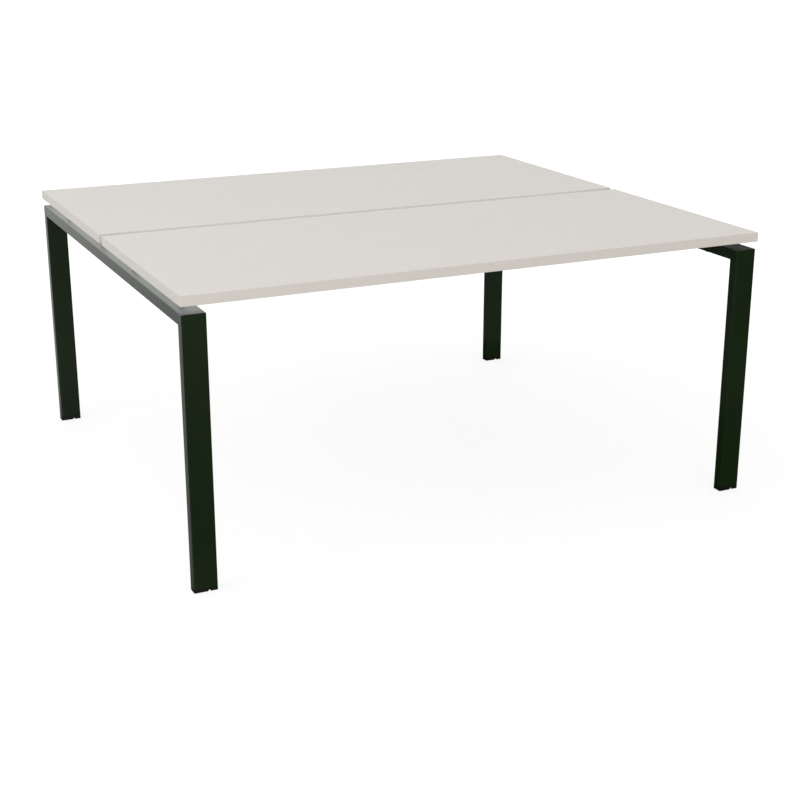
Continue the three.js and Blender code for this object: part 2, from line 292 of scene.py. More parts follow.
@dataclass(frozen=True)
class AbsEdging(Finish):
    """ABS edging tape, extruded, then trimmed and scraped along its length.

    It shows a satin strip a shade deeper than the board, with faint lines along it.
    """

    pale_colour: str = "#d0cbc4"
    roughness: tuple[float, float] = (0.38, 0.5)
    # Real scraper lines are about 0.3 mm apart; they are drawn at 1.2 mm so that they show
    line_mm: float = 1.2
    line_length_mm: float = 90.0
    line_depth_mm: float = 0.03

    def shader(self, tree: ShaderNodeTree, place: NodeSocket) -> NodeSocket:
        """Builds the surface; see Finish.shader for its arguments and result."""
        along = per_metre(self.line_length_mm)
        stretched = add_node(
            tree,
            "ShaderNodeMapping",
            values={"Scale": (along, along, per_metre(self.line_mm))},
            links={"Vector": place},
        )
        lines = add_node(
            tree,
            "ShaderNodeTexNoise",
            values={"Scale": 1.0, "Detail": 3.0, "Roughness": 0.6},
            links={"Vector": stretched.outputs["Vector"]},
        )
        tint = add_node(
            tree,
            "ShaderNodeMix",
            settings={"data_type": "RGBA"},
            values={"A_Color": linear(self.colour), "B_Color": linear(self.pale_colour)},
            links={"Factor_Float": lines.outputs["Fac"]},
        )
        gloss = add_node(
            tree,
            "ShaderNodeMapRange",
            values={"To Min": self.roughness[0], "To Max": self.roughness[1]},
            links={"Value": lines.outputs["Fac"]},
        )
        relief = add_node(
            tree,
            "ShaderNodeBump",
            values={"Strength": 0.3, "Distance": mm(self.line_depth_mm)},
            links={"Height": lines.outputs["Fac"]},
        )
        return add_node(
            tree,
            "ShaderNodeBsdfPrincipled",
            values={"IOR": 1.53},
            links={
                "Base Color": tint.outputs[MIXED_COLOUR],
                "Roughness": gloss.outputs["Result"],
                "Normal": relief.outputs["Normal"],
            },
        ).outputs["BSDF"]


@dataclass(frozen=True)
class PowderCoat(Finish):
    """Polyester powder, sprayed on steel tube and stoved.

    The film flows into a soft orange peel: a satin surface whose reflections ripple, deep in
    colour face on and pale where it is seen along the surface.
    """

    deep_colour: str = "#101f09"
    roughness: tuple[float, float] = (0.22, 0.3)
    # The real peel is about 2 mm across; it is drawn at 3.5 mm so that it shows
    peel_mm: float = 3.5
    peel_depth_mm: float = 0.12
    grit_mm: float = 0.9
    film_mm: float = 70.0

    def shader(self, tree: ShaderNodeTree, place: NodeSocket) -> NodeSocket:
        """Builds the surface; see Finish.shader for its arguments and result."""
        film = add_node(
            tree,
            "ShaderNodeTexNoise",
            values={"Scale": per_metre(self.film_mm), "Detail": 4.0},
            links={"Vector": place},
        )
        green = add_node(
            tree,
            "ShaderNodeMix",
            settings={"data_type": "RGBA"},
            values={"A_Color": linear(self.deep_colour), "B_Color": linear(self.colour)},
            links={"Factor_Float": film.outputs["Fac"]},
        )
        grit = add_node(
            tree,
            "ShaderNodeTexNoise",
            values={"Scale": per_metre(self.grit_mm), "Detail": 2.0},
            links={"Vector": place},
        )
        gloss = add_node(
            tree,
            "ShaderNodeMapRange",
            values={"To Min": self.roughness[0], "To Max": self.roughness[1]},
            links={"Value": grit.outputs["Fac"]},
        )
        peel = add_node(
            tree,
            "ShaderNodeTexNoise",
            values={"Scale": per_metre(self.peel_mm), "Detail": 1.0, "Roughness": 0.4},
            links={"Vector": place},
        )
        relief = add_node(
            tree,
            "ShaderNodeBump",
            values={"Strength": 0.3, "Distance": mm(self.peel_depth_mm)},
            links={"Height": peel.outputs["Fac"]},
        )
        return add_node(
            tree,
            "ShaderNodeBsdfPrincipled",
            values={"IOR": 1.5},
            links={
                "Base Color": green.outputs[MIXED_COLOUR],
                "Roughness": gloss.outputs["Result"],
                "Normal": relief.outputs["Normal"],
            },
        ).outputs["BSDF"]


@dataclass(frozen=True)
class MouldedNylon(Finish):
    """Black nylon, injection moulded in a spark-eroded tool.

    The tool leaves a fine even grain, so the black is matt and slightly grey where light grazes.
    """

    worn_colour: str = "#0b0b0c"
    roughness: tuple[float, float] = (0.46, 0.58)
    # The pits of the grain swallow about half of the gloss
    gloss_level: float = 0.26
    # Real spark grain is about 0.3 mm; it is drawn at 0.9 mm so that it shows
    grain_mm: float = 0.9
    grain_depth_mm: float = 0.05
    scuff_mm: float = 14.0

    def shader(self, tree: ShaderNodeTree, place: NodeSocket) -> NodeSocket:
        """Builds the surface; see Finish.shader for its arguments and result."""
        scuff = add_node(
            tree,
            "ShaderNodeTexNoise",
            values={"Scale": per_metre(self.scuff_mm), "Detail": 6.0, "Roughness": 0.7},
            links={"Vector": place},
        )
        black = add_node(
            tree,
            "ShaderNodeMix",
            settings={"data_type": "RGBA"},
            values={"A_Color": linear(self.colour), "B_Color": linear(self.worn_colour)},
            links={"Factor_Float": scuff.outputs["Fac"]},
        )
        gloss = add_node(
            tree,
            "ShaderNodeMapRange",
            values={"To Min": self.roughness[0], "To Max": self.roughness[1]},
            links={"Value": scuff.outputs["Fac"]},
        )
        grain = add_node(
            tree,
            "ShaderNodeTexVoronoi",
            values={"Scale": per_metre(self.grain_mm)},
            links={"Vector": place},
        )
        relief = add_node(
            tree,
            "ShaderNodeBump",
            values={"Strength": 0.4, "Distance": mm(self.grain_depth_mm)},
            links={"Height": grain.outputs["Distance"]},
        )
        return add_node(
            tree,
            "ShaderNodeBsdfPrincipled",
            values={"IOR": 1.53, "Specular IOR Level": self.gloss_level},
            links={
                "Base Color": black.outputs[MIXED_COLOUR],
                "Roughness": gloss.outputs["Result"],
                "Normal": relief.outputs["Normal"],
            },
        ).outputs["BSDF"]


@dataclass(frozen=True)
class ZincPlate(Finish):
    """Steel, machined, then zinc plated and passivated blue.

    It is a bright grey metal with a cloudy sheen that drifts between blue and straw.
    """

    straw_colour: str = "#c4bfae"
    roughness: tuple[float, float] = (0.24, 0.42)
    cloud_mm: float = 7.0
    frost_mm: float = 0.8
    frost_depth_mm: float = 0.02

    def shader(self, tree: ShaderNodeTree, place: NodeSocket) -> NodeSocket:
        """Builds the surface; see Finish.shader for its arguments and result."""
        cloud = add_node(
            tree,
            "ShaderNodeTexNoise",
            values={"Scale": per_metre(self.cloud_mm), "Detail": 3.0},
            links={"Vector": place},
        )
        sheen = add_node(
            tree,
            "ShaderNodeMix",
            settings={"data_type": "RGBA"},
            values={"A_Color": linear(self.colour), "B_Color": linear(self.straw_colour)},
            links={"Factor_Float": cloud.outputs["Fac"]},
        )
        frost = add_node(
            tree,
            "ShaderNodeTexNoise",
            values={"Scale": per_metre(self.frost_mm), "Detail": 3.0},
            links={"Vector": place},
        )
        gloss = add_node(
            tree,
            "ShaderNodeMapRange",
            values={"To Min": self.roughness[0], "To Max": self.roughness[1]},
            links={"Value": frost.outputs["Fac"]},
        )
        relief = add_node(
            tree,
            "ShaderNodeBump",
            values={"Strength": 0.25, "Distance": mm(self.frost_depth_mm)},
            links={"Height": frost.outputs["Fac"]},
        )
        return add_node(
            tree,
            "ShaderNodeBsdfPrincipled",
            values={"Metallic": 1.0},
            links={
                "Base Color": sheen.outputs[MIXED_COLOUR],
                "Roughness": gloss.outputs["Result"],
                "Normal": relief.outputs["Normal"],
            },
        ).outputs["BSDF"]


LAMINATE = MelamineBoard("melamine_board_pearl", Slot.LAMINATE, "#d8d3cc")
EDGING = AbsEdging("abs_edging_scraped", Slot.EDGING, "#cac4bd")
GREEN_COAT = PowderCoat("polyester_powder_coat_green", Slot.GREEN_COAT, "#14250d")
BLACK_PLASTIC = MouldedNylon("moulded_nylon_black", Slot.BLACK_PLASTIC, "#050505")
ZINC_STEEL = ZincPlate("zinc_plated_steel", Slot.ZINC_STEEL, "#b3b8bc")


# Shared mesh work


def add_piece(name: str, bm: BMesh, finish: Finish, body: str, nodes: Iterable[str]) -> Object:
    """Makes a finished object of a mesh and hands it to the frame.

    Args:
        name: The piece's name.
        bm: The piece's mesh, with its place in its vertices; it is freed here.
        finish: What the piece is made of.
        body: The body that the piece moves with.
        nodes: The frame's nodes that the piece stands for.

    Returns:
        The new object.
    """
    bmesh.ops.remove_doubles(bm, verts=bm.verts, dist=MERGE_DISTANCE)
    bmesh.ops.recalc_face_normals(bm, faces=bm.faces)
    mesh = bpy.data.meshes.new(name)
    bm.to_mesh(mesh)
    bm.free()
    mesh.polygons.foreach_set("use_smooth", [True] * len(mesh.polygons))
    mesh.set_sharp_from_angle(angle=SHARP_ANGLE)
    mesh.materials.append(finish.material())
    piece = bpy.data.objects.new(name, mesh)
    bpy.context.scene.collection.objects.link(piece)
    weighting = piece.modifiers.new("flat_faces_stay_flat", "WEIGHTED_NORMAL")
    weighting.keep_sharp = True
    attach(piece, body)
    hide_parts(*nodes)
    log.info("piece %s on %s: %d faces", name, body, len(mesh.polygons))
    return piece


def middle(node: str) -> Vector:
    """Gives the middle of a frame node's box."""
    low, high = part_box(node)
    return (low + high) / 2


def add_block(bm: BMesh, low: Vector, high: Vector) -> list[BMEdge]:
    """Adds a box between two corners.

    Args:
        bm: The mesh that gets the box.
        low: Its lowest corner.
        high: Its highest corner.

    Returns:
        The box's edges.
    """
    size = high - low
    place = Matrix.Translation((low + high) / 2) @ Matrix.Diagonal((*size, 1))
    verts = bmesh.ops.create_cube(bm, size=1.0, matrix=place)["verts"]
    return list({e for v in verts for e in v.link_edges})


def round_off(bm: BMesh, edges: Iterable[BMEdge], radius_mm: float, segments: int) -> None:
    """Rounds edges.

    Args:
        bm: The mesh.
        edges: The edges to round.
        radius_mm: The round's radius.
        segments: How many strips make the round.
    """
    bmesh.ops.bevel(
        bm,
        geom=list(edges),
        offset=mm(radius_mm),
        offset_type="OFFSET",
        segments=segments,
        profile=0.5,
        affect="EDGES",
        clamp_overlap=True,
        material=-1,
    )


def add_section(bm: BMesh, width: float, depth: float, radius_mm: float, segments: int) -> BMFace:
    """Adds a rectangle with round corners, flat on Z = 0 about the origin.

    Args:
        bm: An empty mesh.
        width: Its size along X, in metres.
        depth: Its size along Y, in metres.
        radius_mm: The corners' radius.
        segments: How many edges make a corner.

    Returns:
        Its face.
    """
    bmesh.ops.create_grid(bm, x_segments=1, y_segments=1, size=0.5)
    bmesh.ops.scale(bm, vec=(width, depth, 1), verts=bm.verts)
    bmesh.ops.bevel(
        bm,
        geom=bm.verts[:],
        offset=mm(radius_mm),
        offset_type="OFFSET",
        segments=segments,
        profile=0.5,
        affect="VERTICES",
        clamp_overlap=True,
        material=-1,
    )
    bm.faces.ensure_lookup_table()
    return bm.faces[0]


def pull(bm: BMesh, face: BMFace) -> tuple[list[BMVert], BMFace]:
    """Extrudes a face where it stands, for a transform to move.

    Args:
        bm: The mesh.
        face: The face to extrude; if other faces meet it, it goes, so that none is left inside.

    Returns:
        The new end's vertices and its face.
    """
    made = bmesh.ops.extrude_face_region(bm, geom=[face, *face.edges])["geom"]
    verts = [g for g in made if isinstance(g, BMVert)]
    end = next(g for g in made if isinstance(g, BMFace))
    return verts, end


def pull_to(bm: BMesh, face: BMFace, level: float) -> BMFace:
    """Extrudes a flat face up or down to a level.

    Args:
        bm: The mesh.
        face: A level face.
        level: The height to reach, in metres.

    Returns:
        The face at that height.
    """
    verts, end = pull(bm, face)
    rise = level - verts[0].co.z
    bmesh.ops.translate(bm, vec=(0, 0, rise), verts=verts)
    return end


def sink(bm: BMesh, face: BMFace, rim_mm: float, level: float) -> BMFace:
    """Leaves a rim on a level face and takes what is inside it to another level.

    Args:
        bm: The mesh.
        face: A level face.
        rim_mm: The rim's width.
        level: The height that the inner part goes to, in metres.

    Returns:
        The inner face, at its new level.
    """
    bmesh.ops.inset_individual(bm, faces=[face], thickness=mm(rim_mm), use_even_offset=True)
    return pull_to(bm, face, level)


def add_turned(bm: BMesh, profile_mm: list[tuple[float, float]], steps: int) -> list[BMVert]:
    """Turns a profile about the Z axis.

    Args:
        bm: The mesh that gets the turned shape.
        profile_mm: Pairs of radius and height, along the profile.
        steps: How many faces go round.

    Returns:
        The turned shape's vertices.
    """
    before = set(bm.verts)
    verts = [bm.verts.new((mm(radius), 0, mm(height))) for radius, height in profile_mm]
    edges = [bm.edges.new(pair) for pair in zip(verts, verts[1:])]
    bmesh.ops.spin(
        bm,
        geom=verts + edges,
        cent=(0, 0, 0),
        axis=(0, 0, 1),
        dvec=(0, 0, 0),
        angle=FULL_TURN,
        steps=steps,
        use_merge=True,
        use_duplicate=False,
    )
    made = [v for v in bm.verts if v not in before]
    bmesh.ops.remove_doubles(bm, verts=made, dist=MERGE_DISTANCE)
    return [v for v in bm.verts if v not in before]


def arc_mm(
    centre: tuple[float, float], radius: float, start_deg: float, end_deg: float, steps: int
) -> list[tuple[float, float]]:
    """Gives points along an arc of a profile.

    Args:
        centre: Radius and height of the arc's centre.
        radius: The arc's radius.
        start_deg: Its first angle; 0 is outwards and 90 is up.
        end_deg: Its last angle.
        steps: How many chords make it.

    Returns:
        Pairs of radius and height.
    """
    angles = [math.radians(start_deg + (end_deg - start_deg) * i / steps) for i in range(steps + 1)]
    return [(centre[0] + radius * math.cos(a), centre[1] + radius * math.sin(a)) for a in angles]


# Sub-assemblies


@dataclass
class Worktop:
    """One seat's worktop: a faced board with an edging strip on each of its four sides."""

    seat: Seat
    board_arris_mm: float = 0.15
    glue_line_mm: float = 0.05
    strip_round_mm: float = 1.2
    corner_round_mm: float = 0.9
    round_segments: int = 4

    def board(self) -> BMesh:
        """Builds the board, out to the glue line behind the strips."""
        bm = bmesh.new()
        low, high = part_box(f"{self.seat.value}_worktop_board")
        reach = mm(FIT_GAP_MM - self.glue_line_mm)
        grow = Vector((reach, reach, 0))
        edges = add_block(bm, low - grow, high + grow)
        round_off(bm, edges, self.board_arris_mm, 1)
        return bm

    def strip(self, edge: Edge) -> BMesh:
        """Builds an edging strip.

        Args:
            edge: The edge of the worktop that it covers.

        Returns:
            The strip's mesh, with the arrises of its outer face rounded.
        """
        bm = bmesh.new()
        low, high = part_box(f"{self.seat.value}_worktop_{edge.value}_edging")
        if edge in (Edge.LEFT, Edge.RIGHT):
            reach = Vector((0, mm(FIT_GAP_MM), 0))
            low, high = low - reach, high + reach
        edges = add_block(bm, low, high)
        face = max(bm.faces, key=lambda f: f.calc_center_median().dot(edge.outward))
        long_edges = [e for e in edges if e in face.edges and abs((e.verts[0].co - e.verts[1].co).z) < mm(1)]
        if edge in (Edge.FRONT, Edge.REAR):
            uprights = [e for e in face.edges if e not in long_edges]
            round_off(bm, [*long_edges, *uprights], self.corner_round_mm, self.round_segments)
        else:
            round_off(bm, long_edges, self.strip_round_mm, self.round_segments)
        return bm

    def dress(self) -> None:
        """Adds the board and its strips."""
        seat = self.seat.value
        add_piece(f"{seat}_top_panel", self.board(), LAMINATE, DESK_BODY, [f"{seat}_worktop_board"])
        for edge in Edge:
            node = f"{seat}_worktop_{edge.value}_edging"
            name = f"{seat}_top_{edge.value}_strip"
            add_piece(name, self.strip(edge), EDGING, DESK_BODY, [node])


@dataclass
class GoalPost:
    """One goal-post frame: two legs and a beam of tube, welded at mitres that are ground flush."""

    side: Side
    tube_round_mm: float = 3.0
    round_segments: int = 5
    tube_wall_mm: float = 2.0
    weld_round_mm: float = 0.7
    bore_mm: float = 60.0

    def nodes(self) -> list[str]:
        """Names the tubes that the frame is welded from."""
        side = self.side.value
        return [f"{side}_frame_front_leg", f"{side}_frame_rear_leg", f"{side}_frame_top_beam"]

    def build(self) -> BMesh:
        """Builds the frame as one painted skin: up a leg, along the beam and down the other leg."""
        bm = bmesh.new()
        leg, _, beam = self.nodes()
        low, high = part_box(leg)
        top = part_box(beam)[1].z
        size = high - low
        face = add_section(bm, size.x, size.y, self.tube_round_mm, self.round_segments)
        bmesh.ops.translate(bm, vec=((low.x + high.x) / 2, (low.y + high.y) / 2, low.z), verts=bm.verts)

        front_mitre, face = pull(bm, face)
        slope = Matrix.Identity(4)
        slope[2][1], slope[2][2], slope[2][3] = -1, 0, top + low.y
        bmesh.ops.transform(bm, matrix=slope, verts=front_mitre)
        rear_mitre, face = pull(bm, face)
        bmesh.ops.transform(bm, matrix=Matrix.Scale(-1, 4, (0, 1, 0)), verts=rear_mitre)
        rear_foot, face = pull(bm, face)
        level = Matrix.Identity(4)
        level[2][2], level[2][3] = 0, low.z
        bmesh.ops.transform(bm, matrix=level, verts=rear_foot)

        mitres = [set(front_mitre), set(rear_mitre)]
        welds = [e for e in bm.edges if any(set(e.verts) <= ring for ring in mitres)]
        round_off(bm, welds, self.weld_round_mm, 2)
        feet = [f for f in bm.faces if max(v.co.z for v in f.verts) < low.z + mm(1)]
        for foot in feet:
            sink(bm, foot, self.tube_wall_mm, low.z + mm(self.bore_mm))
        return bm

    def dress(self) -> None:
        """Adds the frame."""
        add_piece(f"{self.side.value}_goal_post", self.build(), GREEN_COAT, DESK_BODY, self.nodes())


@dataclass
class Foot:
    """What is at the end of a leg: a plugged-in cap, and a pad that a threaded stud raises."""

    seat: Seat
    side: Side
    cap_round_mm: float = 3.0
    round_segments: int = 5
    cap_wall_mm: float = 2.0
    cap_rim_mm: float = 10.0
    cap_hollow_mm: float = 8.0
    plug_inset_mm: float = 2.3
    cap_arris_mm: float = 0.5
    notch_mm: tuple[float, float] = (5.5, 4.0)
    notch_offset_mm: float = 8.0
    pad_arris_mm: float = 0.8
    pad_mm: float = 4.0
    pad_socket_mm: tuple[float, float] = (4.3, 2.5)
    pad_grooves_mm: tuple[float, ...] = (6.0, 9.5)
    groove_mm: tuple[float, float] = (0.9, 0.6)
    pitch_mm: float = 1.25
    stud_radius_mm: float = 4.0
    thread_depth_mm: float = 0.72
    stud_foot_mm: float = 1.8
    stud_tip_mm: float = 49.8
    collar_mm: tuple[float, float] = (4.3, 7.7)
    collar_radius_mm: float = 7.5
    collar_arris_mm: float = 0.4
    turn_steps: int = 40
    thread_steps: int = 18

    @property
    def corner(self) -> str:
        """The corner's name in the frame."""
        return f"{self.seat.value}_{self.side.value}"

    def placed(self, bm: BMesh) -> BMesh:
        """Moves a mesh built about the origin to this corner's leg axis."""
        axis = middle(f"{self.corner}_foot_cap")
        bmesh.ops.translate(bm, vec=(axis.x, axis.y, 0), verts=bm.verts)
        return bm

    def notch(self, bm: BMesh, way: int) -> None:
        """Cuts the small notch in the lower edge of one long wall of the cap.

        Args:
            bm: The cap, about the origin.
            way: The sign of Y of that wall.
        """
        width, height = (mm(size) for size in self.notch_mm)
        centre = -way * mm(self.notch_offset_mm)
        wall = max(abs(v.co.y) for v in bm.verts) - mm(self.cap_wall_mm)
        near = mm(0.01)
        cuts = [
            ((centre - width / 2, 0, 0), (1, 0, 0)),
            ((centre + width / 2, 0, 0), (1, 0, 0)),
            ((0, 0, height), (0, 0, 1)),
        ]
        for place, normal in cuts:
            skin = [f for f in bm.faces if all(v.co.y * way > wall - near for v in f.verts)]
            skin = [f for f in skin if min(v.co.z for v in f.verts) < height]
            region = {g for f in skin for g in (*f.verts, *f.edges, f)}
            bmesh.ops.bisect_plane(bm, geom=list(region), plane_co=place, plane_no=normal)
        gone = [
            f
            for f in bm.faces
            if all(
                v.co.y * way > wall - near
                and abs(v.co.x - centre) < width / 2 + near
                and v.co.z < height + near
                for v in f.verts
            )
        ]
        bmesh.ops.delete(bm, geom=gone, context="FACES")
        open_edges = [e for e in bm.edges if e.is_boundary]
        lintel = [e for e in open_edges if all(abs(v.co.z - height) < near for v in e.verts)]
        bmesh.ops.bridge_loops(bm, edges=lintel)
        bmesh.ops.holes_fill(bm, edges=[e for e in bm.edges if e.is_boundary], sides=0)

    def bore(self, bm: BMesh, ends: list[BMFace]) -> None:
        """Bores the cap along its axis, so that the stud passes through it.

        Args:
            bm: The cap, about the origin.
            ends: The two level faces that the hole opens in.
        """
        rings = []
        for end in ends:
            outline = list(end.edges)
            place = Matrix.Translation((0, 0, end.calc_center_median().z))
            bmesh.ops.delete(bm, geom=[end], context="FACES_ONLY")
            circle = bmesh.ops.create_circle(
                bm,
                cap_ends=False,
                radius=mm(self.stud_radius_mm + FIT_GAP_MM),
                segments=self.turn_steps,
                matrix=place,
            )["verts"]
            ring = list({e for v in circle for e in v.link_edges})
            bmesh.ops.triangle_fill(bm, edges=outline + ring, use_beauty=True)
            rings += ring
        bmesh.ops.bridge_loops(bm, edges=rings)

    def cap(self) -> BMesh:
        """Builds the cap: a hollow rim as wide as the tube, with a plug up inside the leg."""
        bm = bmesh.new()
        low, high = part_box(f"{self.corner}_foot_cap")
        size = high - low
        base = add_section(bm, size.x, size.y, self.cap_round_mm, self.round_segments)
        rim = pull_to(bm, base, mm(self.cap_rim_mm))
        crown = sink(bm, rim, self.plug_inset_mm, high.z)
        base = min(bm.faces, key=lambda f: f.calc_center_median().z)
        ceiling = sink(bm, base, self.cap_wall_mm, mm(self.cap_hollow_mm))
        self.bore(bm, [ceiling, crown])
        outline = [
            e
            for e in bm.edges
            if all(v.co.z < mm(0.01) for v in e.verts)
            and any(f.normal.z > -0.5 and f.calc_center_median().z > 0 for f in e.link_faces)
        ]
        round_off(bm, outline, self.cap_arris_mm / 2, 2)
        for seat in Seat:
            self.notch(bm, seat.towards)
        return self.placed(bm)

    def pad(self) -> BMesh:
        """Builds the pad: a moulded disc with grip grooves below and a socket for the stud."""
        bm = bmesh.new()
        low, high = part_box(f"{self.corner}_levelling_pad")
        radius = (high.x - low.x) / 2 / MILLIMETRE
        arris = self.pad_arris_mm
        socket, depth = self.pad_socket_mm
        groove, groove_depth = self.groove_mm
        profile = [(0.0, 0.0)]
        for ring in self.pad_grooves_mm:
            profile += [(ring - groove, 0.0), (ring - groove / 2, groove_depth)]
            profile += [(ring + groove / 2, groove_depth), (ring + groove, 0.0)]
        profile += arc_mm((radius - arris, arris), arris, -90, 0, 4)
        profile += arc_mm((radius - arris, self.pad_mm - arris), arris, 0, 90, 4)
        profile += [(socket, self.pad_mm), (socket, self.pad_mm - depth), (0.0, self.pad_mm - depth)]
        add_turned(bm, profile, self.turn_steps)
        return self.placed(bm)

    def stud(self) -> BMesh:
        """Builds the stud: a right-hand screw thread, with a hexagon collar to turn it by."""
        bm = bmesh.new()
        crest, root = self.stud_radius_mm, self.stud_radius_mm - self.thread_depth_mm
        start, pitch = self.collar_mm[1] - self.pitch_mm, self.pitch_mm
        tooth = [(root, 0.0), (root, 0.14), (crest, 0.5), (crest, 0.66), (root, 1.0)]
        verts = [bm.verts.new((mm(r), 0, mm(start + share * pitch))) for r, share in tooth]
        edges = [bm.edges.new(pair) for pair in zip(verts, verts[1:])]
        turns = int((self.stud_tip_mm - start) / pitch) - 1
        bmesh.ops.spin(
            bm,
            geom=verts + edges,
            cent=(0, 0, 0),
            axis=(0, 0, 1),
            dvec=(0, 0, mm(pitch) / self.thread_steps),
            angle=FULL_TURN * turns,
            steps=self.thread_steps * turns,
            use_merge=False,
            use_duplicate=False,
        )
        bmesh.ops.remove_doubles(bm, verts=bm.verts, dist=mm(0.01))
        ends = bmesh.ops.holes_fill(bm, edges=[e for e in bm.edges if e.is_boundary], sides=0)
        bmesh.ops.poke(bm, faces=ends["faces"])

        foot, neck = self.stud_foot_mm, self.collar_mm[0]
        add_turned(bm, [(0.0, foot), (crest, foot), (crest, neck), (0.0, neck)], self.turn_steps)
        low, high = (mm(level) for level in self.collar_mm)
        place = Matrix.Translation((0, 0, (low + high) / 2))
        collar = bmesh.ops.create_cone(
            bm,
            cap_ends=True,
            segments=6,
            radius1=mm(self.collar_radius_mm),
            radius2=mm(self.collar_radius_mm),
            depth=high - low,
            matrix=place,
        )["verts"]
        round_off(bm, {e for v in collar for e in v.link_edges}, self.collar_arris_mm, 2)
        return self.placed(bm)

    def dress(self) -> None:
        """Adds the cap, the pad and the stud, each on its own body."""
        corner = self.corner
        add_piece(f"{corner}_foot_shoe", self.cap(), BLACK_PLASTIC, DESK_BODY, [f"{corner}_foot_cap"])
        pad, stud = f"{corner}_levelling_pad", f"{corner}_levelling_stud"
        add_piece(f"{corner}_foot_disc", self.pad(), BLACK_PLASTIC, f"{corner}_pad", [pad])
        add_piece(f"{corner}_threaded_stud", self.stud(), ZINC_STEEL, f"{corner}_stud", [stud])


@dataclass(frozen=True)
class SocketScrew:
    """A screw with a domed head and a hexagon socket, built along Z with its crown down."""

    head_radius_mm: float
    head_mm: float
    crown_radius_mm: float
    socket_radius_mm: float
    socket_mm: float
    shank_radius_mm: float
    shank_mm: float
    point_mm: float = 0.6
    steps: int = 24
    dome_steps: int = 5

    def build(self) -> BMesh:
        """Builds the screw, with the bearing face of its head at the origin."""
        bm = bmesh.new()
        dome = [
            (
                self.crown_radius_mm + (self.head_radius_mm - self.crown_radius_mm) * math.sin(angle),
                -self.head_mm + (self.head_mm * 0.8) * (1 - math.cos(angle)),
            )
            for angle in (math.pi / 2 * i / self.dome_steps for i in range(self.dome_steps + 1))
        ]
        shank = self.shank_radius_mm
        profile = dome + [(self.head_radius_mm, 0.0), (shank, 0.0), (shank, self.shank_mm - self.point_mm)]
        profile += [(shank - self.point_mm, self.shank_mm), (0.0, self.shank_mm)]
        add_turned(bm, profile, self.steps)
        crown = [e for e in bm.edges if e.is_boundary]

        rim = Matrix.Translation((0, 0, -mm(self.head_mm)))
        radius = mm(self.socket_radius_mm)
        made = bmesh.ops.create_circle(bm, cap_ends=False, radius=radius, segments=6, matrix=rim)
        sides = list({e for v in made["verts"] for e in v.link_edges})
        bmesh.ops.subdivide_edges(bm, edges=sides, cuts=self.steps // 6 - 1)
        hexagon = [e for e in bm.edges if not e.link_faces]
        bmesh.ops.bridge_loops(bm, edges=crown + hexagon)
        walls = bmesh.ops.extrude_edge_only(bm, edges=hexagon)["geom"]
        floor = [g for g in walls if isinstance(g, BMVert)]
        bmesh.ops.translate(bm, vec=(0, 0, mm(self.socket_mm)), verts=floor)
        bmesh.ops.holes_fill(bm, edges=[e for e in bm.edges if e.is_boundary], sides=0)
        return bm


